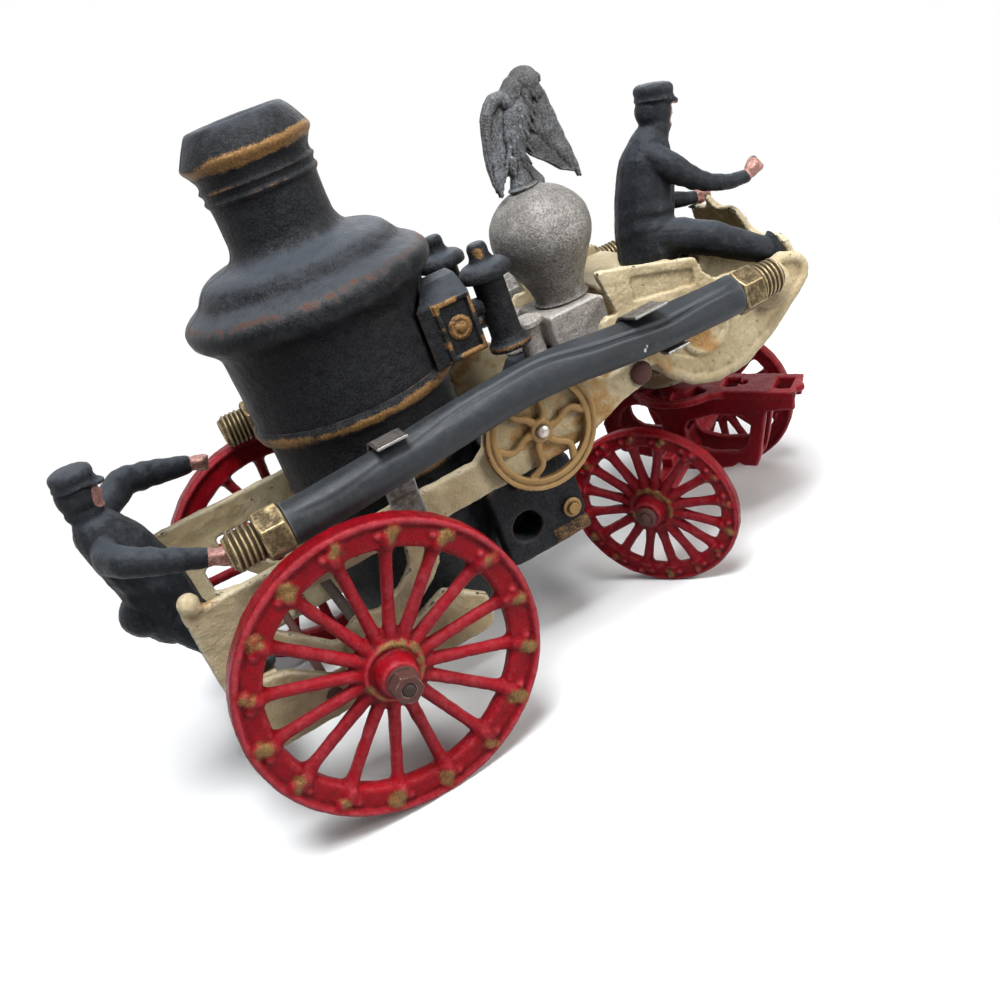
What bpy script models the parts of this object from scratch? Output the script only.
"""Cast iron toy steam fire pumper: a horse-drawn wagon with its boiler, pump, hoses and crew.

Sizes are in millimetres and become metres in the helpers. X points forward, Y to the
wagon's left and Z up. The sizes are measured from the ground under the rear axle, and
the whole toy hangs on one empty that puts the middle of its footprint at the origin.
The front truck stands turned to the right by STEER_AT_REST.
"""
import math

import bmesh
import bpy
from mathutils import Matrix, Vector

for item in list(bpy.data.objects):
    bpy.data.objects.remove(item, do_unlink=True)

MM = 0.001
FIT = 0.3                      # clearance between pieces that touch

# Rear wheels and axle
REAR_WHEEL_R = 50.0
REAR_RIM_DEPTH = 10.2
REAR_RIM_WIDTH = 8.2
REAR_WHEEL_Y = 61.7            # middle of the rim
REAR_SPOKE_R = 2.0
SPOKES = 16
REAR_HUB_OUT = 9.8
REAR_HUB_IN = 11.5
AXLE_R = 2.2
RUNNING = 0.35                 # radial play of a wheel on its axle
NUT_FLATS = 8.4
NUT_T = 4.6
WASHER_R = 5.2
WASHER_T = 0.9

# Front truck, turned about the kingpin
KINGPIN_X = 152.9
STEER_AT_REST = 52.87          # degrees to the right
FRONT_WHEEL_R = 32.8
FRONT_RIM_DEPTH = 6.8
FRONT_RIM_WIDTH = 5.2
FRONT_WHEEL_Y = 44.0
FRONT_SPOKE_R = 1.75
FRONT_HUB_OUT = 7.0
FRONT_HUB_IN = 8.0
TRUCK_PITCH = 8.0              # degrees that its casting noses down on the axle
TRUCK_TOP_Z = 62.8             # plate's top at the kingpin
TRUCK_PLATE_T = 3.0
TRUCK_HALF_W = 7.8
TRUCK_FRONT = 46.6
TRUCK_REAR = 25.0
TRUCK_WALL_T = 2.6
TRUCK_RING_R = 18.0
KINGPIN_R = 2.2
BOLSTER_R = 11.0

# Side frames
FRAME_Y = 37.4                 # inner face
FRAME_T = 3.4
RAIL_TOP = 88.6
RAIL_DEPTH = 12.0
FRAME_REAR_X = -47.7
SILL_Z = 31.0
SILL_DEPTH = 20.0
POST_W = 12.0
ARCH_X = 82.0
ARCH_R = 21.5
FRAME_END_X = 121.5
FRAME_END_R = 5.0
AXLE_BOSS_R = 9.0
KNOB_R = 4.3

# Rear platform
PLATFORM_TOP = 42.0
PLATFORM_T = 3.2
PLATFORM_FRONT = -8.0
TIE_X = -18.0
TIE_Z = 38.4
TIE_R = 1.6

# Boiler, turned about a vertical axis
BOILER_X = 35.5
BOILER_R = 34.8
BOILER_TOP = 210.0
BOILER_FOOT = 26.0
SPLIT = 0.15                   # half of the seam between two castings
PAD_HALF = 7.5

# Flywheels
FLYWHEEL_X = 79.6
FLYWHEEL_Z = RAIL_TOP + 0.3
FLYWHEEL_R = 20.7
FLYWHEEL_RIM = 4.4
FLYWHEEL_T = 2.7
FLYWHEEL_ARMS = 6
FLYWHEEL_HUB_R = 4.2
FLY_SCREW_R = 1.6
FLY_HEAD_R = 2.5

# Engine and pump
CHEST_X0 = 55.0
CHEST_X1 = 78.0
CHEST_Y0 = 14.0
CHEST_Y1 = 28.0
CHEST_Z0 = 117.5
CHEST_Z1 = 138.0
CYL_X = 88.3
CYL_Y = 20.0
CYL_R = 5.4
CYL_FOOT = 111.8
CYL_HEAD = 137.0
HEAD_R = 9.0
BLOCK_X0 = 107.5
BLOCK_X1 = 130.0
BLOCK_Y = 14.0
BLOCK_Z0 = 99.5
BLOCK_TOP = 112.6
BARREL_X = 100.6
BARREL_Y = 8.5
BARREL_R = 4.2
DOME_X = 120.6
DOME_R = 18.4
DOME_TOP = 154.6
PUMP_X0 = 57.0
PUMP_X1 = 90.0
PUMP_Y = 33.0
PUMP_Z0 = 42.0
PUMP_Z1 = 73.0
PORT_X = 66.8
PORT_Z = 54.5
PORT_R = 5.7
PORT_DEPTH = 14.0

# Front body
BODY_Y = 33.9                  # inner face of its sides
BODY_T = 3.2
SEAT_REAR = 119.0
SEAT_FRONT = 153.0
SEAT_TOP = 113.0
SEAT_T = 3.2
FLOOR_T = 2.6
DASH_X = 200.2
DASH_T = 2.8
DASH_TOP = 119.2
DASH_FOOT = 96.0
DASH_LEAN = 0.3

# Hoses, couplings and clips
HOSE_Y = 51.6
HOSE_R = 7.0
LEFT_HOSE_X = 12.5             # where the shorter left hose starts
HEX_FLATS = 14.4
HEX_T = 8.8
THREAD_R = 6.2
THREAD_LEN = 10.4
NOZZLE_BORE = 3.4
CLIP_T = 1.0
CLIP_W = 10.5
CLIP_X = (29.0, 121.0)

# Crew
TAIL_X = -68.0                 # rearmost point of the rear figure's coat

STEER = math.radians(-STEER_AT_REST)
FRONT_REACH = (KINGPIN_X + (FRONT_WHEEL_R - 0.6) * math.cos(STEER)
               - (FRONT_WHEEL_Y + FRONT_RIM_WIDTH / 2) * math.sin(STEER))
ORIGIN_X = (FRONT_REACH + TAIL_X) / 2

toy = bpy.data.collections.new("toy_steam_fire_pumper")
bpy.context.scene.collection.children.link(toy)


# Materials

def paint(name, colour, roughness, metallic=0.0):
    material = bpy.data.materials.new(name)
    material.use_nodes = True
    shader = material.node_tree.nodes["Principled BSDF"]
    shader.inputs["Base Color"].default_value = (*colour, 1.0)
    shader.inputs["Roughness"].default_value = roughness
    shader.inputs["Metallic"].default_value = metallic
    return material


CREAM = paint("cream_enamel", (0.62, 0.54, 0.36), 0.55)
RED = paint("red_enamel", (0.42, 0.01, 0.02), 0.4)
BLACK = paint("black_enamel", (0.02, 0.022, 0.025), 0.45)
GOLD = paint("gold_bronze_paint", (0.42, 0.24, 0.09), 0.5, 0.4)
SILVER = paint("aluminium_paint", (0.42, 0.41, 0.39), 0.45, 0.6)
BRASS = paint("brass", (0.45, 0.31, 0.12), 0.4, 1.0)
STEEL = paint("steel", (0.3, 0.27, 0.25), 0.4, 1.0)
RUBBER = paint("black_rubber", (0.03, 0.035, 0.04), 0.6)


# Mesh helpers: each returns a closed mesh in metres

PLANES = {
    "XY": Matrix.Identity(4),
    "XZ": Matrix.Rotation(math.radians(90), 4, "X"),
    "YZ": Matrix(((0, 0, 1, 0), (1, 0, 0, 0), (0, 1, 0, 0), (0, 0, 0, 1))),
}


def blank(mesh):
    item = bpy.data.objects.new("blank", mesh)
    bpy.context.scene.collection.objects.link(item)
    return item


def finished(item):
    """Evaluate an object, remove it and return its welded mesh with faces pointing out."""
    bpy.context.view_layer.update()
    graph = bpy.context.evaluated_depsgraph_get()
    mesh = bpy.data.meshes.new_from_object(item.evaluated_get(graph))
    bpy.data.objects.remove(item)
    shape = bmesh.new()
    shape.from_mesh(mesh)
    bmesh.ops.remove_doubles(shape, verts=shape.verts, dist=1e-6)
    bmesh.ops.recalc_face_normals(shape, faces=shape.faces)
    shape.to_mesh(mesh)
    shape.free()
    return mesh


def moved(mesh, x=0.0, y=0.0, z=0.0, matrix=None):
    if matrix is not None:
        mesh.transform(matrix)
    mesh.transform(Matrix.Translation(Vector((x, y, z)) * MM))
    return mesh


def mirrored(mesh):
    """A copy with left and right changed over."""
    copy = mesh.copy()
    copy.transform(Matrix.Scale(-1, 4, (0, 1, 0)))
    copy.flip_normals()
    return copy


def from_bmesh(shape):
    mesh = bpy.data.meshes.new("shape")
    bmesh.ops.recalc_face_normals(shape, faces=shape.faces)
    shape.to_mesh(mesh)
    shape.free()
    return mesh


def box(x0, x1, y0, y1, z0, z1):
    shape = bmesh.new()
    bmesh.ops.create_cube(shape, size=1.0)
    size = Matrix.Diagonal(((x1 - x0) * MM, (y1 - y0) * MM, (z1 - z0) * MM, 1))
    middle = Matrix.Translation(Vector(((x0 + x1) / 2, (y0 + y1) / 2, (z0 + z1) / 2)) * MM)
    bmesh.ops.transform(shape, matrix=middle @ size, verts=shape.verts)
    return from_bmesh(shape)


def rod(start, end, r0, r1=None, sides=12):
    """A cylinder or cone between two points."""
    a = Vector(start) * MM
    b = Vector(end) * MM
    shape = bmesh.new()
    bmesh.ops.create_cone(shape, cap_ends=True, segments=sides, radius1=r0 * MM,
                          radius2=(r0 if r1 is None else r1) * MM, depth=(b - a).length)
    turn = (b - a).to_track_quat("Z", "Y").to_matrix().to_4x4()
    bmesh.ops.transform(shape, matrix=Matrix.Translation((a + b) / 2) @ turn, verts=shape.verts)
    return from_bmesh(shape)


def ball(centre, radii, columns=12, rows=8, tilt=0.0):
    """An ellipsoid, tilted about Y by an angle in degrees."""
    shape = bmesh.new()
    bmesh.ops.create_uvsphere(shape, u_segments=columns, v_segments=rows, radius=MM)
    size = Matrix.Diagonal((*radii, 1))
    turn = Matrix.Rotation(math.radians(tilt), 4, "Y")
    place = Matrix.Translation(Vector(centre) * MM)
    bmesh.ops.transform(shape, matrix=place @ turn @ size, verts=shape.verts)
    return from_bmesh(shape)


def turned(profile, segments=48, closed=False):
    """A profile of (radius, height) turned about Z; a closed one makes a ring."""
    mesh = bpy.data.meshes.new("profile")
    points = [(r * MM, 0, z * MM) for r, z in profile]
    edges = [(i, i + 1) for i in range(len(points) - 1)]
    if closed:
        edges.append((len(points) - 1, 0))
    mesh.from_pydata(points, edges, [])
    item = blank(mesh)
    screw = item.modifiers.new("turn", "SCREW")
    screw.steps = segments
    screw.render_steps = segments
    screw.use_merge_vertices = True
    screw.merge_threshold = 1e-6
    return finished(item)


def extruded(outlines, low, high, plane="XZ", chamfer=0.0):
    """Flat outlines, the first one outside and the rest holes, made into a plate.

    low and high are the plate's faces along the plane's normal: Y for XZ, X for YZ.
    """
    curve = bpy.data.curves.new("outline", "CURVE")
    curve.dimensions = "2D"
    curve.fill_mode = "BOTH"
    curve.extrude = ((high - low) / 2 - chamfer) * MM
    curve.bevel_depth = chamfer * MM
    curve.bevel_resolution = 0
    curve.offset = -chamfer * MM
    for outline in outlines:
        spline = curve.splines.new("POLY")
        spline.points.add(len(outline) - 1)
        spline.use_cyclic_u = True
        for point, (a, b) in zip(spline.points, outline):
            point.co = (a * MM, b * MM, 0, 1)
    mesh = finished(blank(curve))
    mesh.transform(PLANES[plane])
    middle = (low + high) / 2
    shift = {"XY": (0, 0, middle), "XZ": (0, middle, 0), "YZ": (middle, 0, 0)}[plane]
    return moved(mesh, *shift)


def tube(points, radii, resolution=4):
    """A tapered tube along points, with flat ends and 4 + 2 * resolution sides."""
    curve = bpy.data.curves.new("path", "CURVE")
    curve.dimensions = "3D"
    curve.bevel_depth = MM
    curve.bevel_resolution = resolution
    curve.use_fill_caps = True
    spline = curve.splines.new("POLY")
    spline.points.add(len(points) - 1)
    if not isinstance(radii, (list, tuple)):
        radii = [radii] * len(points)
    for point, place, radius in zip(spline.points, points, radii):
        point.co = (*(Vector(place) * MM), 1)
        point.radius = radius
    return finished(blank(curve))


def combined(base, tools, operation):
    """Join meshes to a base mesh, or cut them from it, in one Boolean."""
    shape = bmesh.new()
    for tool in tools:
        shape.from_mesh(tool)
    joined = bpy.data.meshes.new("tools")
    shape.to_mesh(joined)
    shape.free()
    tool_item = blank(joined)
    tool_item.hide_render = True
    tool_item.display_type = "WIRE"
    item = blank(base)
    boolean = item.modifiers.new("combine", "BOOLEAN")
    boolean.operation = operation
    boolean.solver = "EXACT"
    boolean.use_self = True
    boolean.object = tool_item
    mesh = finished(item)
    bpy.data.objects.remove(tool_item)
    return mesh


def fused(base, *tools):
    return combined(base, tools, "UNION")


def cut(base, *tools):
    return combined(base, tools, "DIFFERENCE")


def arc(cx, cz, radius, start, end, steps=8):
    """Points on an arc, angles in degrees, both ends included."""
    turn = (end - start) / steps
    return [(cx + radius * math.cos(math.radians(start + turn * i)),
             cz + radius * math.sin(math.radians(start + turn * i))) for i in range(steps + 1)]


def flowing(points, steps=3):
    """A smooth curve through points, with some steps between each two."""
    path = [Vector(p) for p in points]
    path = [path[0] * 2 - path[1]] + path + [path[-1] * 2 - path[-2]]
    result = []
    for a, b, c, d in zip(path, path[1:], path[2:], path[3:]):
        for i in range(steps):
            t = i / steps
            result.append(tuple(0.5 * (2 * b + (c - a) * t + (2 * a - 5 * b + 4 * c - d) * t * t
                                       + (3 * b - a - 3 * c + d) * t ** 3)))
    result.append(tuple(path[-2]))
    return result


def rounded(corners, radius, steps=2):
    """A polygon with every corner rounded to a radius, or to what its sides allow."""
    result = []
    count = len(corners)
    for i in range(count):
        corner = Vector(corners[i])
        before = Vector(corners[i - 1]) - corner
        after = Vector(corners[(i + 1) % count]) - corner
        angle = before.angle(after)
        trim = min(radius / math.tan(angle / 2), 0.45 * before.length, 0.45 * after.length)
        a = corner + before.normalized() * trim
        b = corner + after.normalized() * trim
        for step in range(steps + 1):
            t = step / steps
            result.append(tuple((1 - t) ** 2 * a + 2 * t * (1 - t) * corner + t * t * b))
    return result


# Placing

def empty(name, location, parent=None, turn=0.0):
    item = bpy.data.objects.new(name, None)
    item.location = Vector(location) * MM
    item.rotation_euler = (0, 0, turn)
    item.parent = parent
    toy.objects.link(item)
    return item


ROOT = empty("toy_origin", (-ORIGIN_X, 0, 0))


def piece(name, mesh, material, location=(0, 0, 0), parent=ROOT, turn=0.0, smooth=35):
    item = bpy.data.objects.new(name, mesh)
    mesh.name = name
    mesh.materials.clear()
    mesh.materials.append(material)
    mesh.shade_smooth()
    mesh.set_sharp_from_angle(angle=math.radians(smooth))
    item.location = Vector(location) * MM
    item.rotation_euler = (0, 0, turn)
    item.parent = parent
    toy.objects.link(item)
    return item


SIDES = (("right", -1), ("left", 1))


def pair(name, mesh, material, location=(0, 0, 0), parent=ROOT):
    """A right-hand piece as modelled, and its mirror image on the left."""
    x, y, z = location
    piece(name + "_right", mesh, material, (x, y, z), parent)
    piece(name + "_left", mirrored(mesh), material, (x, -y, z), parent)


# Wheels: modelled on Y, with the outer face towards -Y

OUTWARD = Matrix.Rotation(math.radians(90), 4, "X")


def spoked_wheel(radius, rim_depth, rim_width, spoke_r, hub_r, hub_out, hub_in, segments):
    half = rim_width / 2
    inner = radius - rim_depth
    step = inner + 0.55 * rim_depth
    felloe = half * 0.72
    rim = turned([(inner, -felloe * 0.5), (inner + 1.2, -felloe), (step, -felloe),
                  (step + 0.9, -half), (radius - 0.6, -half), (radius, -half + 0.7),
                  (radius, half - 0.7), (radius - 0.6, half), (inner, felloe)],
                 segments, closed=True)
    bore = AXLE_R + RUNNING
    flange = hub_r * 1.35
    hub = turned([(bore, -hub_in), (hub_r, -hub_in), (hub_r, -felloe), (flange, -felloe * 0.8),
                  (flange, felloe * 0.6), (hub_r, felloe + 0.6), (hub_r * 0.82, hub_out),
                  (bore, hub_out)], 16, closed=True)
    spokes = []
    for i in range(SPOKES):
        angle = 2 * math.pi * i / SPOKES
        way = Vector((math.cos(angle), math.sin(angle), 0))
        spokes.append(rod(way * (flange - 1.5), way * (inner + 1.5), spoke_r * 0.9, spoke_r * 1.1, 6))
    wheel = fused(rim, hub, *spokes)
    wheel.transform(OUTWARD)
    return wheel


rear_wheel = spoked_wheel(REAR_WHEEL_R, REAR_RIM_DEPTH, REAR_RIM_WIDTH, REAR_SPOKE_R, 8.0,
                          REAR_HUB_OUT, REAR_HUB_IN, 36)
REAR_PHASE = math.radians(2.5)
rear_wheel.transform(Matrix.Rotation(REAR_PHASE, 4, "Y"))
piece("rear_wheel_right", rear_wheel, RED, (0, -REAR_WHEEL_Y, REAR_WHEEL_R))
piece("rear_wheel_left", rear_wheel.copy(), RED, (0, REAR_WHEEL_Y, REAR_WHEEL_R), turn=math.pi)

hub_face = REAR_WHEEL_Y + REAR_HUB_OUT
nut_face = hub_face + 2 * FIT + WASHER_T + NUT_T
piece("rear_axle", rod((0, -nut_face - 1.2, 0), (0, nut_face + 1.2, 0), AXLE_R, sides=16), STEEL,
      (0, 0, REAR_WHEEL_R))
washer = turned([(AXLE_R + FIT, 0), (WASHER_R, 0), (WASHER_R, WASHER_T), (AXLE_R + FIT, WASHER_T)],
                16, closed=True)
washer.transform(OUTWARD)
nut = cut(rod((0, 0, 0), (0, 0, NUT_T), NUT_FLATS / math.sqrt(3), sides=6),
          rod((0, 0, -1), (0, 0, NUT_T + 1), AXLE_R + FIT, sides=16))
nut.transform(OUTWARD)
pair("rear_axle_washer", washer, STEEL, (0, -hub_face - FIT, REAR_WHEEL_R))
pair("rear_axle_nut", nut, STEEL, (0, -hub_face - 2 * FIT - WASHER_T, REAR_WHEEL_R))

# Side frames: one flat lattice casting each, with an axle boss, a rear knob and a screwed front end

RAIL_LOW = RAIL_TOP - RAIL_DEPTH
SILL_TOP = SILL_Z + SILL_DEPTH
frame_outer = (
    [(FRAME_REAR_X, SILL_Z + 3), (FRAME_REAR_X, RAIL_TOP)]
    + [(ARCH_X - ARCH_R - 5, RAIL_TOP), (ARCH_X - ARCH_R - 1.2, RAIL_TOP + 2.5)]
    + arc(ARCH_X, RAIL_TOP, ARCH_R, 160, 24, 12)
    + [(FRAME_END_X - 12, RAIL_TOP + 5.2), (FRAME_END_X - 6, RAIL_TOP + 5.6)]
    + arc(FRAME_END_X, RAIL_TOP + 1, FRAME_END_R, 90, -60, 6)
    + flowing([(FRAME_END_X - 10, RAIL_LOW + 6.2), (FRAME_END_X - 22, RAIL_LOW + 1.8),
               (FRAME_END_X - 36, RAIL_LOW)], 2)
    + [(36, RAIL_LOW - 0.6)]
    + flowing([(32.6, 71), (31.8, 63), (22, 54.6), (13, 51.4)], 2)
    + [(14, 47.5), (29, 53), (42.6, 43.6), (41.5, 33), (38, SILL_Z), (FRAME_REAR_X + 3, SILL_Z)])
upper_window = rounded([(-25.5, RAIL_LOW), (-10, 58.5), (-6, 58), (0, 60.5), (7, 58), (16, 61.5),
                        (22, 67), (23.5, RAIL_LOW)], 2.5)
lower_window = rounded([(FRAME_REAR_X + POST_W, SILL_TOP + 1), (-12.5, SILL_TOP + 1),
                        (FRAME_REAR_X + POST_W, 70)], 2.0)
FRAME_OUT = FRAME_Y + FRAME_T
AXLE_BOSS_END = REAR_WHEEL_Y - REAR_HUB_IN - 0.5
frame_right = fused(
    extruded([frame_outer, upper_window, lower_window], -FRAME_OUT, -FRAME_Y, "XZ"),
    rod((0, -FRAME_Y, REAR_WHEEL_R), (0, -AXLE_BOSS_END, REAR_WHEEL_R), AXLE_BOSS_R,
        AXLE_BOSS_R * 0.72, 16),
    rod((FLYWHEEL_X, -FRAME_OUT + 1, FLYWHEEL_Z), (FLYWHEEL_X, -FRAME_OUT - 0.4, FLYWHEEL_Z), 3.4,
        sides=16),
    ball((FRAME_REAR_X + KNOB_R, -(FRAME_Y + FRAME_T / 2), RAIL_TOP + 2.6), (KNOB_R,) * 3, 8, 6))
frame_right = cut(
    frame_right,
    rod((0, -FRAME_Y + 1, REAR_WHEEL_R), (0, -AXLE_BOSS_END - 1, REAR_WHEEL_R), AXLE_R + FIT, sides=16),
    rod((FLYWHEEL_X, -FRAME_Y + 1, FLYWHEEL_Z), (FLYWHEEL_X, -FRAME_OUT - 2, FLYWHEEL_Z),
        FLY_SCREW_R + FIT, sides=16),
    rod((FRAME_END_X, -FRAME_Y + 1, RAIL_TOP + 1), (FRAME_END_X, -FRAME_OUT - 1, RAIL_TOP + 1),
        TIE_R + FIT, sides=12),
    rod((TIE_X, -FRAME_Y + 1, TIE_Z), (TIE_X, -FRAME_OUT - 1, TIE_Z), TIE_R + FIT, sides=12))
pair("frame_side", frame_right, CREAM)

# Rear platform, held between the frames by a tie rod through a rib below it

PLATFORM_Y = FRAME_Y - FIT
platform = extruded([[(FRAME_REAR_X + 1, PLATFORM_TOP), (FRAME_REAR_X + 1, PLATFORM_TOP - PLATFORM_T),
                      (TIE_X - 5, PLATFORM_TOP - PLATFORM_T), (TIE_X - 3.4, TIE_Z - 3.6),
                      (TIE_X + 3.4, TIE_Z - 3.6), (TIE_X + 5, PLATFORM_TOP - PLATFORM_T),
                      (PLATFORM_FRONT, PLATFORM_TOP - PLATFORM_T), (PLATFORM_FRONT, PLATFORM_TOP)]],
                    -PLATFORM_Y, PLATFORM_Y, "XZ")
platform = cut(platform, rod((TIE_X, -PLATFORM_Y - 1, TIE_Z), (TIE_X, PLATFORM_Y + 1, TIE_Z),
                             TIE_R + FIT, sides=12))
piece("rear_platform", platform, CREAM)


def rivet(length, radius, head_r, head_h):
    """A rod along Y from 0 to +length with a domed head towards -Y."""
    profile = [(0, -length), (radius, -length), (radius, 0), (head_r, 0), (head_r, head_h * 0.35),
               (head_r * 0.72, head_h * 0.85), (0, head_h)]
    mesh = turned(profile, 12)
    mesh.transform(OUTWARD)
    return mesh


tie = fused(rivet(FRAME_OUT + 4, TIE_R, 3.2, 1.6),
            moved(mirrored(rivet(FRAME_OUT + 4, TIE_R, 3.2, 1.6)), y=2 * (FRAME_OUT + FIT)))
piece("platform_tie_rod", tie, STEEL, (TIE_X, -FRAME_OUT - FIT, TIE_Z))

# Boiler: two half castings that meet on the centre plane, from the ash pan up to the stack cap

boiler_profile = [
    (0, BOILER_FOOT), (17, BOILER_FOOT), (24, BOILER_FOOT + 4), (28.6, BOILER_FOOT + 13),
    (30.6, RAIL_TOP - 16), (32.2, RAIL_TOP), (33.9, RAIL_TOP + 1.6), (33.9, RAIL_TOP + 4.2),
    (32.7, RAIL_TOP + 5.8), (32.9, 111.5), (35.9, 114.6), (35.9, 117.2), (BOILER_R, 118.8),
    (BOILER_R, 141), (35.8, 145), (40.4, 149.6), (42.1, 153), (41.6, 156.2), (35.6, 160.6),
    (33.4, 163), (31.6, 165.4), (28.6, 167.4), (22.4, 169), (19, 171.4), (17.7, 175), (17.8, 187.6),
    (19, 189.2), (18.3, 191.4), (19.3, 193), (18.5, 195), (20.3, 199), (21.3, 200), (21.3, 201.6),
    (15.1, BOILER_TOP), (10.5, BOILER_TOP), (9.6, BOILER_TOP - 5), (0, BOILER_TOP - 5)]
boiler = moved(turned(boiler_profile, 32), BOILER_X)
pads = box(BOILER_X - PAD_HALF, BOILER_X + PAD_HALF, -FRAME_Y + FIT, FRAME_Y - FIT, RAIL_LOW + 1.5,
           RAIL_TOP - 3)
boiler = fused(boiler, pads)
axle_way = box(-5, AXLE_R + 3.2 + FIT, -40, 40, REAR_WHEEL_R - AXLE_R - 2, REAR_WHEEL_R + AXLE_R + 2)
boiler = cut(boiler, axle_way)
boiler_right = cut(boiler, box(-30, 100, -SPLIT, 60, 0, BOILER_TOP + 20))
pair("boiler_half", boiler_right, BLACK)

# Steam chests on the boiler's front, each with a raised border and a rosette on its cover

chest = extruded([[(-CHEST_Y1, CHEST_Z0), (-CHEST_Y1, CHEST_Z1), (-CHEST_Y1 + 7, CHEST_Z1 + 5.6),
                   (-CHEST_Y0, CHEST_Z1 + 6.4), (-CHEST_Y0, CHEST_Z0)]], CHEST_X0, CHEST_X1, "YZ", 0.4)
border = extruded([[(CHEST_X1 - 13.6, CHEST_Z0 + 0.4), (CHEST_X1 - 0.4, CHEST_Z0 + 0.4),
                    (CHEST_X1 - 0.4, CHEST_Z1 - 0.2), (CHEST_X1 - 13.6, CHEST_Z1 - 0.2)],
                   [(CHEST_X1 - 12, CHEST_Z0 + 2), (CHEST_X1 - 2, CHEST_Z0 + 2),
                    (CHEST_X1 - 2, CHEST_Z1 - 1.8), (CHEST_X1 - 12, CHEST_Z1 - 1.8)]],
                  -CHEST_Y1 - 0.9, -CHEST_Y1 + 0.6, "XZ")
rosette = moved(turned([(0, -1), (4, -1), (4, 0.4), (3.1, 0.9), (2.2, 0.5), (1.4, 1.3), (0, 1.5)], 16),
                CHEST_X1 - 7, -CHEST_Y1, (CHEST_Z0 + CHEST_Z1) / 2, OUTWARD)
neck = rod((CHEST_X1 - 2, -CYL_Y, CYL_HEAD - 8), (CYL_X - CYL_R + 0.2, -CYL_Y, CYL_HEAD - 8), 3.2)
chest = fused(chest, border, rosette, neck)
cylinder_clearance = rod((CYL_X, -CYL_Y, CHEST_Z0 - 5), (CYL_X, -CYL_Y, CHEST_Z1 + 12), CYL_R + FIT,
                         sides=24)
head_clearance = rod((CYL_X, -CYL_Y, CYL_HEAD - FIT), (CYL_X, -CYL_Y, CYL_HEAD + 20), HEAD_R + FIT,
                     sides=24)
boiler_clearance = rod((BOILER_X, 0, CHEST_Z0 - 5), (BOILER_X, 0, CHEST_Z1 + 12), 36.3, sides=40)
chest = cut(chest, cylinder_clearance, head_clearance, boiler_clearance)
pair("steam_chest", chest, BLACK)

cylinder = turned([
    (0, CYL_FOOT), (7.2, CYL_FOOT), (7.2, CYL_FOOT + 2.4), (CYL_R, CYL_FOOT + 4.4),
    (CYL_R, CYL_HEAD), (HEAD_R, CYL_HEAD), (HEAD_R, CYL_HEAD + 3), (HEAD_R - 1.8, CYL_HEAD + 4.8),
    (3.8, CYL_HEAD + 5.8), (3.5, CYL_HEAD + 10), (2.2, CYL_HEAD + 11.8), (0, CYL_HEAD + 11.8)], 20)
piece("steam_cylinder_right", cylinder, BLACK, (CYL_X, -CYL_Y, 0))
piece("steam_cylinder_left", cylinder.copy(), BLACK, (CYL_X, CYL_Y, 0))

# Water pump under the frames, with a hose port on each side and a column up to the pump head

pump = extruded([rounded([(PUMP_X0, PUMP_Z0), (PUMP_X1 - 8, PUMP_Z0), (PUMP_X1, PUMP_Z0 + 8),
                          (PUMP_X1, PUMP_Z1), (PUMP_X0, PUMP_Z1)], 2.5)], -PUMP_Y, PUMP_Y, "XZ", 0.6)
tail = extruded([rounded([(43.5, 33), (50, 30.5), (62, 28), (64, PUMP_Z0 + 4), (44, PUMP_Z0 + 8)], 2)],
                -9, 9, "XZ", 0.6)
column = extruded([rounded([(PUMP_X1 - 8, PUMP_Z1 - 6), (PUMP_X1 + 3, PUMP_Z1 - 3), (BLOCK_X1 - 2, 84),
                            (BLOCK_X1 - 2, BLOCK_Z0 - FIT), (BLOCK_X0 - 12, BLOCK_Z0 - FIT),
                            (PUMP_X1 - 8, 84)], 1.5)], -9, 9, "XZ", 0.4)
mount_pads = box(66, 84, -FRAME_Y + FIT, FRAME_Y - FIT, PUMP_Z1 - 3, RAIL_TOP - 5)
flange = box(PUMP_X1 - 14, PUMP_X1 - 0.5, -PUMP_Y - 1.2, PUMP_Y + 1.2, PUMP_Z0 + 1, PUMP_Z0 + 5.5)
pump = fused(pump, tail, column, mount_pads, flange)
boiler_way = rod((BOILER_X, 0, 20), (BOILER_X, 0, RAIL_TOP + 10), 33.5, sides=40)
pump = cut(pump, boiler_way,
           *[rod((PORT_X, side * (PUMP_Y + 2), PORT_Z), (PORT_X, side * (PUMP_Y - PORT_DEPTH), PORT_Z),
                 PORT_R, sides=24) for _, side in SIDES])
piece("water_pump", pump, BLACK)
plug = turned([(0, 0), (3.6, 0), (3.6, 1), (2.2, 1.3), (2.2, 2.6), (0, 2.6)], 16)
plug.transform(OUTWARD)
pair("pump_plug", plug, GOLD, (84.4, -PUMP_Y - FIT, 53.2))
knobs = fused(ball((PUMP_X1 + 0.6, -16, 57), (4.4, 4.8, 6), 8, 6),
              ball((PUMP_X1 + 0.4, -16, 64.5), (3.8, 3.8, 3.8), 8, 6))
knobs = cut(knobs, box(80, PUMP_X1 + FIT, -30, 0, 40, 80))
pair("pump_valve_chamber", knobs, BLACK)

# Pump head in aluminium paint: a block with two barrels behind it and the air chamber on top

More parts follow.
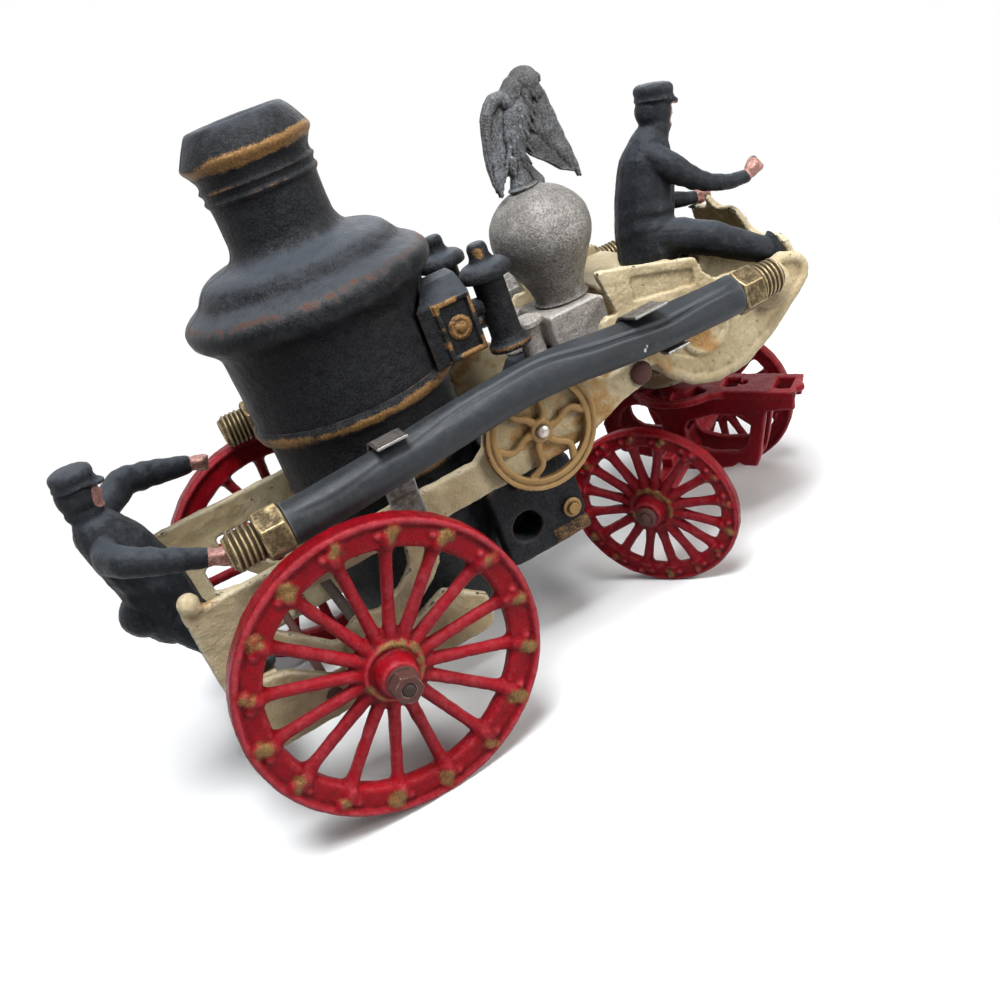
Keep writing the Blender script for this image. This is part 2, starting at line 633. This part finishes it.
head_block = extruded([rounded([(BLOCK_X0, BLOCK_Z0), (BLOCK_X1, BLOCK_Z0), (BLOCK_X1, BLOCK_TOP - 1.5),
                                (BLOCK_X1 - 3, BLOCK_TOP), (BLOCK_X0, BLOCK_TOP)], 1.2)],
                      -BLOCK_Y, BLOCK_Y, "XZ", 0.6)
piece("pump_head", head_block, SILVER)
barrel = turned([(0, BLOCK_Z0), (BARREL_R + 0.5, BLOCK_Z0), (BARREL_R + 0.5, BLOCK_Z0 + 1.2),
                 (BARREL_R, BLOCK_Z0 + 2), (BARREL_R, BLOCK_TOP - 1), (BARREL_R + 1.8, BLOCK_TOP - 0.4),
                 (BARREL_R + 1.8, BLOCK_TOP + 1.6), (2.6, BLOCK_TOP + 3), (0, BLOCK_TOP + 3.2)], 20)
piece("pump_barrel_right", barrel, SILVER, (BARREL_X, -BARREL_Y, 0))
piece("pump_barrel_left", barrel.copy(), SILVER, (BARREL_X, BARREL_Y, 0))

chamber_foot = BLOCK_TOP + FIT
chamber = turned([
    (0, chamber_foot), (9.6, chamber_foot), (9.2, 115), (9.8, 119), (11.8, 123.5), (14.6, 128),
    (17.4, 132.6), (DOME_R, 137), (DOME_R - 0.6, 142), (15.4, 147.4), (10.4, 151.8),
    (5.4, DOME_TOP - 0.9), (0, DOME_TOP)], 24)
piece("air_chamber", chamber, SILVER, (DOME_X, 0, 0))

# Eagle on the air chamber, its wings half spread along the toy

EAGLE_FOOT = DOME_TOP + FIT
eagle_body = tube([(0.6, 0, EAGLE_FOOT + 2), (2.4, 0, 162), (4, 0, 170), (6.4, 0, 178), (9.4, 0, 184.6)],
                  [4.6, 4.4, 6.4, 5.6, 4.2], 2)
eagle_head = ball((11.4, 0, 187.6), (4.6, 3.6, 4.2), 10, 8, 20)
beak = rod((14, 0, 187.6), (16.8, 0, 185.4), 1.8, 0.5, 6)
stand = rod((0, 0, EAGLE_FOOT - 2), (1.4, 0, 160), 5.6, 3.6, 12)
rear_wing = extruded([flowing([(6, 182), (0, 185.4), (-5, 185.8), (-8.6, 181), (-10, 172), (-10.6, 162),
                               (-9.8, 157), (-6.4, 160), (-2, 166), (2, 172)], 2)], -4.6, -0.6, "XZ", 0.8)
front_wing = extruded([flowing([(8, 181), (13, 183.6), (18.4, 181), (21.6, 172), (22.6, 162), (21, 153.4),
                                (16.4, 158), (11.6, 164), (7.6, 170)], 2)], -3.6, 0.4, "XZ", 0.8)
eagle = fused(eagle_body, eagle_head, beak, stand, rear_wing, front_wing)
dome_clearance = turned([(0, DOME_TOP - 30), (DOME_R, DOME_TOP - 30), (15.4 + FIT, 147.4 + FIT),
                         (10.4 + FIT, 151.8 + FIT), (5.4 + FIT, DOME_TOP - 0.9 + FIT),
                         (0, DOME_TOP + FIT)], 24)
eagle = cut(eagle, dome_clearance)
piece("eagle_ornament", eagle, SILVER, (DOME_X, 0, 0))

# Flywheels on their screws

rim = turned([(FLYWHEEL_R - FLYWHEEL_RIM, 0.4), (FLYWHEEL_R - FLYWHEEL_RIM + 1, 0),
              (FLYWHEEL_R, 0), (FLYWHEEL_R - 0.8, FLYWHEEL_T / 2), (FLYWHEEL_R, FLYWHEEL_T),
              (FLYWHEEL_R - FLYWHEEL_RIM + 1, FLYWHEEL_T),
              (FLYWHEEL_R - FLYWHEEL_RIM, FLYWHEEL_T - 0.4)], 28, closed=True)
hub = turned([(FLY_SCREW_R + RUNNING, 0), (FLYWHEEL_HUB_R, 0), (FLYWHEEL_HUB_R, FLYWHEEL_T - 0.4),
              (FLYWHEEL_HUB_R - 0.8, FLYWHEEL_T), (FLY_SCREW_R + RUNNING, FLYWHEEL_T)], 12, closed=True)
arms = []
for i in range(FLYWHEEL_ARMS):
    angle = 2 * math.pi * i / FLYWHEEL_ARMS
    sweep = [(r, angle + 0.42 * math.sin(math.pi * (r - 3) / 14) ** 2 * (r - 3) / 14)
             for r in (3, 10.5, 17.2)]
    arms.append(tube([(r * math.cos(a), r * math.sin(a), FLYWHEEL_T / 2) for r, a in sweep], 1.35, 1))
flywheel = fused(rim, hub, *arms)
flywheel.transform(OUTWARD)
FLYWHEEL_Y = FRAME_OUT + 0.4 + FIT
piece("flywheel_right", flywheel, GOLD, (FLYWHEEL_X, -FLYWHEEL_Y, FLYWHEEL_Z))
piece("flywheel_left", flywheel.copy(), GOLD, (FLYWHEEL_X, FLYWHEEL_Y, FLYWHEEL_Z), turn=math.pi)
pair("flywheel_screw", rivet(FLYWHEEL_T + FRAME_T + 2.2, FLY_SCREW_R, FLY_HEAD_R, 1.4), STEEL,
     (FLYWHEEL_X, -FLYWHEEL_Y - FLYWHEEL_T - FIT, FLYWHEEL_Z))

# Front body: two side castings with the seat's ends, and the curved footboard between them

keel = flowing([(130.6, 88), (134.6, 82), (142.5, 75.2), (152.4, 71.6), (164.1, 71.4), (178, 77.4),
                (193.3, 86.9), (DASH_X - 1.6, 91.2), (DASH_X, DASH_FOOT)], 2)
side_outline = (
    [(108, 89), (108, 104), (113, 105.4), (115.6, 110), (118, 111.4), (SEAT_REAR + 2.6, 110.6),
     (SEAT_REAR + 2, 113.6), (SEAT_REAR + 0.6, 119.4), (SEAT_REAR - 0.6, 126.6)]
    + flowing([(SEAT_REAR + 2.6, 126.2), (130, 124), (137.3, 121.9), (146, 119.4), (SEAT_FRONT + 3, 116.4)], 2)
    + [(SEAT_FRONT + 4, 111), (SEAT_FRONT + 8.8, 106), (171, 104.8), (178, 102), (184, 100.2),
       (190, 101.4), (DASH_X - 7, 102.2), (DASH_X - 2, 99.6)]
    + keel[::-1])
side_right = extruded([side_outline], -BODY_Y - BODY_T, -BODY_Y, "XZ")
seat_panel = extruded([rounded([(128.5, 112), (153.6, 107.6), (154, 113.4), (142, 117), (129.5, 120.6)], 1.5)],
                      -BODY_Y - BODY_T - 1, -BODY_Y - BODY_T + 0.9, "XZ")
side_panel = extruded([rounded([(137, 98), (138, 88), (146, 83), (155, 84), (162, 90), (165, 98)], 3)],
                      -BODY_Y - BODY_T - 1, -BODY_Y - BODY_T + 0.7, "XZ")
side_right = cut(side_right, seat_panel, side_panel,
                 rod((FRAME_END_X, -BODY_Y + 1, RAIL_TOP + 1), (FRAME_END_X, -FRAME_OUT, RAIL_TOP + 1),
                     TIE_R + FIT, sides=12))
pair("front_body_side", side_right, CREAM)
pair("front_body_screw", rivet(FRAME_OUT - BODY_Y + 2, TIE_R, 4.2, 1.8), STEEL,
     (FRAME_END_X, -FRAME_OUT - FIT, RAIL_TOP + 1))

FLOOR_Y = BODY_Y - FIT


def thickened(path, depth):
    """A band between a path and the same path moved to its left by depth."""
    inner = []
    for i, (x, z) in enumerate(path):
        ahead = Vector(path[min(i + 1, len(path) - 1)]) - Vector(path[max(i - 1, 0)])
        normal = Vector((-ahead.y, ahead.x)).normalized() * depth
        inner.append((x + normal.x, z + normal.y))
    return path + inner[::-1]


floor = extruded([thickened(keel, FLOOR_T)], -FLOOR_Y, FLOOR_Y, "XZ")
half_dash = [(0, DASH_TOP + 5.4), (1.6, DASH_TOP + 2), (4, DASH_TOP), (11, DASH_TOP), (14, DASH_TOP - 1.4),
             (15.4, DASH_TOP - 5), (15.8, DASH_TOP - 9.6), (19.4, DASH_TOP - 11.6), (FLOOR_Y - 2.4, DASH_TOP - 11.2),
             (FLOOR_Y, DASH_TOP - 14), (FLOOR_Y, DASH_FOOT - 3)]
dash = extruded([half_dash + [(-y, z) for y, z in half_dash[:0:-1]]], DASH_X - DASH_T, DASH_X, "YZ", 0.3)
LEANING = Matrix.Identity(4)
LEANING[0][2] = -DASH_LEAN
LEANING[0][3] = DASH_LEAN * DASH_FOOT * MM
dash.transform(LEANING)
footboard = fused(floor, dash)


def keel_height(x):
    """The height of the footboard's underside at x."""
    for (x0, z0), (x1, z1) in zip(keel, keel[1:]):
        if x0 <= x <= x1:
            return z0 + (z1 - z0) * (x - x0) / (x1 - x0)


PIN_HEAD_R = 4.4
UNDER_PIN = min([keel_height(KINGPIN_X - BOLSTER_R), keel_height(KINGPIN_X + BOLSTER_R)]
                + [z for x, z in keel if abs(x - KINGPIN_X) < BOLSTER_R])
OVER_PIN = FLOOR_T + 0.5 + max(keel_height(KINGPIN_X - PIN_HEAD_R), keel_height(KINGPIN_X + PIN_HEAD_R))
footboard = cut(footboard, rod((KINGPIN_X, 0, UNDER_PIN - 5), (KINGPIN_X, 0, OVER_PIN + 10), KINGPIN_R + FIT,
                               sides=16))
piece("footboard", footboard, CREAM)

PITCH = math.radians(TRUCK_PITCH)
BOLSTER_FOOT = TRUCK_TOP_Z + (BOLSTER_R + 1) * math.tan(PITCH) + FIT
bolster = turned([(KINGPIN_R + FIT, BOLSTER_FOOT), (BOLSTER_R, BOLSTER_FOOT), (BOLSTER_R, BOLSTER_FOOT + 1.6),
                  (BOLSTER_R - 3, UNDER_PIN - 1.4), (BOLSTER_R - 2, UNDER_PIN - FIT),
                  (KINGPIN_R + FIT, UNDER_PIN - FIT)], 16, closed=True)
piece("bolster", bolster, CREAM, (KINGPIN_X, 0, 0))
seat = extruded([rounded([(BLOCK_X1 + 2, SEAT_TOP - SEAT_T), (SEAT_FRONT + 6, SEAT_TOP - SEAT_T - 1.4),
                          (SEAT_FRONT + 7.2, SEAT_TOP - 1.6), (SEAT_FRONT + 5, SEAT_TOP),
                          (BLOCK_X1 + 2, SEAT_TOP)], 0.8)], -FLOOR_Y, FLOOR_Y, "XZ")
piece("seat_bench", seat, CREAM)
BOSS_FOOT = TRUCK_TOP_Z - TRUCK_PLATE_T - 6
kingpin = turned([(0, BOSS_FOOT - 3.4), (4.6, BOSS_FOOT - 3.4), (4.6, BOSS_FOOT - 1.2), (KINGPIN_R, BOSS_FOOT - 1.2),
                  (KINGPIN_R, OVER_PIN + FIT), (PIN_HEAD_R, OVER_PIN + FIT), (PIN_HEAD_R - 0.8, OVER_PIN + 2.3),
                  (0, OVER_PIN + 2.9)], 12)
piece("kingpin", kingpin, STEEL, (KINGPIN_X, 0, 0))

# Front truck: an open top plate with walls, a ring under the bolster, and the axle housing

truck = empty("truck_pivot", (KINGPIN_X, 0, 0), ROOT, STEER)
AXLE_Z = FRONT_WHEEL_R
PLATE_TOP = AXLE_Z + (TRUCK_TOP_Z - AXLE_Z) * math.cos(PITCH)
plate_outline = (
    [(-TRUCK_REAR, -TRUCK_HALF_W), (-17, -TRUCK_HALF_W)] + arc(0, 0, TRUCK_RING_R, -146, -34, 7)
    + [(20, -TRUCK_HALF_W), (TRUCK_FRONT, -TRUCK_HALF_W), (TRUCK_FRONT - 0.6, -3),
       (TRUCK_FRONT + 1.8, 0), (TRUCK_FRONT - 0.6, 3), (TRUCK_FRONT, TRUCK_HALF_W), (20, TRUCK_HALF_W)]
    + arc(0, 0, TRUCK_RING_R, 34, 146, 7) + [(-17, TRUCK_HALF_W), (-TRUCK_REAR, TRUCK_HALF_W)])
plate_slots = [
    [(TRUCK_FRONT - 9, -4.6), (TRUCK_FRONT - 2.6, -4.6), (TRUCK_FRONT - 2.6, 4.6), (TRUCK_FRONT - 9, 4.6)],
    [(18, -3.4), (24, -3.4), (24, 3.4), (18, 3.4)],
    [(-22, -4), (-18.5, -4), (-18.5, 4), (-22, 4)]] + [
    arc(0, 0, TRUCK_RING_R - 2.6, side * a, side * b, 3) + arc(0, 0, 9.2, side * b, side * a, 2)
    for _, side in SIDES for a, b in ((28, 84), (96, 146))]
plate = extruded([plate_outline] + plate_slots, PLATE_TOP - TRUCK_PLATE_T, PLATE_TOP, "XY")
wall_top = PLATE_TOP - TRUCK_PLATE_T + 0.5
wall_outline = (
    [(-TRUCK_REAR, wall_top), (-TRUCK_REAR - 4, 53), (-TRUCK_REAR - 7, 46.6), (-TRUCK_REAR - 5, 38),
     (-TRUCK_REAR, 34), (-12, 31.5), (-4, AXLE_Z - 6), (4, AXLE_Z - 6), (14, 27.6), (20, 28.8), (23, 31),
     (25, 29.6), (30, 29.6), (31.6, 34), (35.4, 53.6), (TRUCK_FRONT - 0.6, 55), (TRUCK_FRONT - 0.6, wall_top)])
rear_arch = rounded([(-TRUCK_REAR, 46), (-22, 40), (-8, 38.5), (-6.4, 50), (-14, 56.2), (-22.5, 54)], 4, 1)
front_window = rounded([(4, 38), (13, 35.6), (26, 36), (29.8, 51.6), (15, 52), (2.4, 48)], 3, 1)
walls = [extruded([wall_outline, rear_arch, front_window], side * (TRUCK_HALF_W - TRUCK_WALL_T / 2 - 0.3)
                  - TRUCK_WALL_T / 2, side * (TRUCK_HALF_W - TRUCK_WALL_T / 2 - 0.3) + TRUCK_WALL_T / 2,
                  "XZ") for _, side in SIDES]
housing_end = FRONT_WHEEL_Y - FRONT_HUB_IN - 0.4
housing = rod((0, -housing_end, AXLE_Z), (0, housing_end, AXLE_Z), 4.6, sides=12)
web = box(-2.4, 2.4, -24, 24, AXLE_Z, AXLE_Z + 9)
foot_bar = box(25.6, 29.8, -TRUCK_HALF_W + 1, TRUCK_HALF_W - 1, 29.8, 33)
truck_frame = fused(plate, *walls, housing, web, foot_bar)
NOSE_DOWN = (Matrix.Translation((0, 0, AXLE_Z * MM)) @ Matrix.Rotation(PITCH, 4, "Y")
             @ Matrix.Translation((0, 0, -AXLE_Z * MM)))
truck_frame.transform(NOSE_DOWN)
truck_frame = fused(truck_frame, rod((0, 0, BOSS_FOOT), (0, 0, TRUCK_TOP_Z - 1), 6.6, sides=12))
truck_frame = cut(truck_frame, rod((0, 0, BOSS_FOOT - 9), (0, 0, TRUCK_TOP_Z + 5), KINGPIN_R + RUNNING, sides=12),
                  rod((0, -housing_end - 1, AXLE_Z), (0, housing_end + 1, AXLE_Z), AXLE_R + FIT, sides=12),
                  rod((29.5, 0, TRUCK_TOP_Z - 14), (29.5, 0, TRUCK_TOP_Z + 2), 1.7, sides=12))
piece("truck_frame", truck_frame, RED, parent=truck)
FRONT_AXLE_END = FRONT_WHEEL_Y + FRONT_HUB_OUT + 3.6
front_axle = rod((0, -FRONT_AXLE_END, 0), (0, FRONT_AXLE_END, 0), AXLE_R, sides=12)
piece("front_axle", front_axle, STEEL, (0, 0, AXLE_Z), truck)
end_washer = turned([(AXLE_R + FIT, 0), (4, 0), (3.8, 1.5), (AXLE_R + FIT, 1.9)], 12, closed=True)
end_washer.transform(OUTWARD)
pair("front_axle_collar", end_washer, STEEL, (0, -FRONT_WHEEL_Y - FRONT_HUB_OUT - FIT, AXLE_Z), truck)
front_wheel = spoked_wheel(FRONT_WHEEL_R, FRONT_RIM_DEPTH, FRONT_RIM_WIDTH, FRONT_SPOKE_R, 6.8,
                           FRONT_HUB_OUT, FRONT_HUB_IN, 28)
piece("front_wheel_right", front_wheel, RED, (0, -FRONT_WHEEL_Y, AXLE_Z), truck)
piece("front_wheel_left", front_wheel.copy(), RED, (0, FRONT_WHEEL_Y, AXLE_Z), truck, math.pi)
turn_washer = turned([(KINGPIN_R + FIT, BOLSTER_FOOT - FIT - 0.6), (6, BOLSTER_FOOT - FIT - 0.6),
                      (6, BOLSTER_FOOT - FIT), (KINGPIN_R + FIT, BOLSTER_FOOT - FIT)], 12, closed=True)
piece("turntable_washer", turn_washer, STEEL, (KINGPIN_X, 0, 0))

# Hoses, held along both sides from coupling to coupling

HOSE_ROUTE = [(-8.0, 104.0), (-2.0, 104.0), (14.0, 105.0), (33.0, 106.2), (52.0, 107.8), (69.0, 109.0),
              (82.0, 109.2), (94.0, 108.4), (108.0, 106.6), (121.0, 105.4), (134.0, 104.6), (150.0, 103.9),
              (157.4, 103.9)]
LEFT_ROUTE = [(LEFT_HOSE_X, 107.6), (LEFT_HOSE_X + 6, 107.4)] + [p for p in HOSE_ROUTE if p[0] > LEFT_HOSE_X + 16]
piece("hose_right", tube([(x, 0, z) for x, z in HOSE_ROUTE], HOSE_R, 4), RUBBER, (0, -HOSE_Y, 0))
piece("hose_left", tube([(x, 0, z) for x, z in LEFT_ROUTE], HOSE_R, 4), RUBBER, (0, HOSE_Y, 0))


def coupling():
    """A hexagon with a threaded nozzle towards -X, its mouth bored."""
    hexagon = rod((0, 0, 0), (-HEX_T, 0, 0), HEX_FLATS / math.sqrt(3), sides=6)
    nozzle = rod((-HEX_T + 1, 0, 0), (-HEX_T - THREAD_LEN, 0, 0), THREAD_R, THREAD_R * 0.92, 20)
    bore = rod((-HEX_T - 2, 0, 0), (-HEX_T - THREAD_LEN - 1, 0, 0), NOZZLE_BORE, sides=16)
    return cut(fused(hexagon, nozzle), bore)


for (side_name, side), route in zip(SIDES, (HOSE_ROUTE, LEFT_ROUTE)):
    start = (route[0][0] - FIT, side * HOSE_Y, route[0][1])
    end = (route[-1][0] + FIT, side * HOSE_Y, route[-1][1])
    piece("rear_coupling_" + side_name, coupling(), BRASS, start)
    piece("front_coupling_" + side_name, coupling(), BRASS, end, turn=math.pi)


def hose_height(x, route=HOSE_ROUTE):
    """The height of a hose's centre line at x."""
    for (x0, z0), (x1, z1) in zip(route, route[1:]):
        if x0 <= x <= x1:
            return z0 + (z1 - z0) * (x - x0) / (x1 - x0)


STRAP_IN = HOSE_R + 3.4 * FIT
STRAP_OUT = STRAP_IN + CLIP_T


def finger(z, start, end):
    """Part of a strap's section round a hose; 0 degrees faces the frame."""
    return arc(-HOSE_Y, z, STRAP_IN, start, end, 5) + arc(-HOSE_Y, z, STRAP_OUT, end, start, 5)


def rear_clip(x, route):
    """A strap from a foot on the rail, up behind the hose and over its top."""
    z = hose_height(x, route)
    foot = -FRAME_OUT - FIT
    over = [(-HOSE_Y - 7, z + STRAP_OUT - 0.2), (-HOSE_Y - 7, z + STRAP_IN - 0.2)]
    behind = arc(-HOSE_Y, z, STRAP_IN, 100, -40, 7)
    outline = over + behind + [
        (foot - CLIP_T, RAIL_TOP + 2), (foot - CLIP_T, RAIL_LOW + 2), (foot, RAIL_LOW + 2),
        (foot, RAIL_TOP + 2.4)] + arc(-HOSE_Y, z, STRAP_OUT, -36, 100, 7)
    return extruded([outline], x - CLIP_W / 2, x + CLIP_W / 2, "YZ")


def front_clip(x):
    """One finger over the hose, one under it further forward, and a foot on the body's side."""
    z = hose_height(x)
    half = CLIP_W / 2
    over = [(-HOSE_Y - 8, z + STRAP_OUT + 0.8), (-HOSE_Y - 8, z + STRAP_IN + 0.8)]
    upper = extruded([over + arc(-HOSE_Y, z, STRAP_IN, 100, -20, 6)
                      + arc(-HOSE_Y, z, STRAP_OUT, -20, 100, 6)], x - half, x + half + 2, "YZ")
    lower = extruded([finger(hose_height(x + 10), 20, -110)], x + half, x + half + 9, "YZ")
    foot = -BODY_Y - BODY_T - FIT
    leg = extruded([[(foot, z - 12), (foot, z + 1), (-HOSE_Y + STRAP_OUT - 0.4, z + 1),
                     (-HOSE_Y + STRAP_OUT - 0.4, z), (foot - CLIP_T, z), (foot - CLIP_T, z - 12)]],
                   x + half + 1.2, x + half + 8.2, "YZ")
    return fused(upper, lower, leg)


piece("rear_hose_clip_right", rear_clip(CLIP_X[0], HOSE_ROUTE), STEEL)
piece("rear_hose_clip_left", mirrored(rear_clip(CLIP_X[0], LEFT_ROUTE)), STEEL)
pair("front_hose_clip", front_clip(CLIP_X[1]), STEEL)


# Crew: single castings in coat and cap

def crew_head(x, z, tilt, size=1.0):
    """A head in a cap with a peak, tilted forward by an angle in degrees."""
    skull = ball((0, 0, 0), (6.2, 5.6, 7.2), 10, 7)
    crown = rod((-0.4, 0, 3.2), (-0.6, 0, 8.4), 7.0, 6.2, 12)
    peak = extruded([[(3, -5)] + arc(2.4, 0, 6.6, -60, 60, 5) + [(3, 5)]], 2.4, 3.6, "XY")
    nose = rod((4.6, 0, -1.6), (7.2, 0, -1.8), 1.5, 0.8, 6)
    head_mesh = fused(skull, crown, peak, nose)
    head_mesh.transform(Matrix.Rotation(math.radians(tilt), 4, "Y") @ Matrix.Scale(size, 4))
    return moved(head_mesh, x, 0, z)


def driver():
    """Seated and leaning forward with the fists held out; from the seat's top under the hips."""
    trunk = tube([(5.5, 0, FIT), (6.6, 0, 9), (10, 0, 20), (13.8, 0, 29), (17, 0, 35), (19.8, 0, 38.6)],
                 [11, 11, 10.2, 9.6, 7.2, 5.2], 3)
    trunk.transform(Matrix.Scale(1.12, 4, (0, 1, 0)))
    parts = [crew_head(24.8, 47, 12, 1.14), rod((18, 0, 34), (23.5, 0, 43), 5.6, 5.2, 12)]
    arms_at = (((13, -9, 31), (17, -12.6, 27.5), (22.5, -14.8, 22.6), (29, -15.6, 18.8), (38, -15, 15.6),
                (46, -14.6, 15)),
               ((13, 9, 31), (17, 13, 26), (22, 14.6, 18), (28, 14.2, 11.8), (35, 12.8, 9.4), (40, 12.2, 8.6)))
    for side, arm, hand in ((-1, arms_at[0], (48.2, -14.5, 15)), (1, arms_at[1], (42.2, 12, 7.9))):
        parts.append(tube(list(arm), [4.4, 5.0, 4.3, 3.7, 3.1, 2.9], 1))
        parts.append(ball(hand, (4.0, 3.2, 3.9), 8, 6))
        parts.append(tube([(6, side * 6.5, 7), (16, side * 13, 3.4), (27, side * 19, -2.4),
                           (35, side * 23, -8.2), (40, side * 26, -13)], [6.4, 6.6, 6.2, 5.1, 4.4], 1))
        parts.append(ball((42.6, side * 28, -13.2), (3.6, 3.7, 7.4), 8, 6, 40))
    return fused(trunk, *parts)


DRIVER_X = 153.5
driver_mesh = moved(driver(), DRIVER_X, 0, SEAT_TOP)
in_front = box(DASH_X - DASH_T - FIT, DASH_X + 20, -40, 40, 80, DASH_TOP + FIT)
in_front.transform(LEANING)
driver_mesh = cut(driver_mesh, in_front,
                  box(DRIVER_X - 25, SEAT_FRONT + 7.6, -30, 30, SEAT_TOP - 20, SEAT_TOP + FIT))
piece("driver", driver_mesh, BLACK)


def rear_figure():
    """Standing at the back and reaching for both hoses; from the coat's tail and the platform."""
    trunk = tube([(14, 0, 25), (15.4, 0, 35), (15.6, 0, 48), (12.6, 0, 60), (9.6, 0, 68), (7.4, 0, 74)],
                 [12.6, 12, 11.6, 10.8, 8.6, 4.6], 3)
    trunk.transform(Matrix.Scale(1.1, 4, (0, 1, 0)))
    coat_tail = ball((9, 0, 31), (9, 11, 8), 12, 8)
    parts = [coat_tail, crew_head(10, 83, 4), rod((8, 0, 71), (9, 0, 79), 4.6, 4.4, 12)]
    for side, hand in ((-1, (38.4, -35.4, 56.5)), (1, (47, 35, 62.5))):
        parts.append(tube([(9, side * 8, 66), (9.6, side * 15, 64.6), (17, side * 24, 62),
                           (hand[0] - 1.6, hand[1] * 0.97, hand[2] + 0.4)], [4.4, 4.9, 4.2, 3.2], 1))
        parts.append(ball(hand, (4.2, 3.4, 3.6), 8, 6))
        parts.append(tube([(18, side * 6, 30), (25, side * 7.5, 18), (28.4, side * 8, 8),
                           (29.4, side * 8, 2)], [7.4, 6, 4.8, 4.6], 1))
        parts.append(ball((33, side * 8.4, 2.4), (7.4, 4.2, 3.8), 8, 6))
    figure = fused(trunk, *parts)
    return cut(figure, box(0, 60, -30, 30, -20, FIT))


piece("rear_figure", moved(rear_figure(), TAIL_X, 0, PLATFORM_TOP), BLACK)
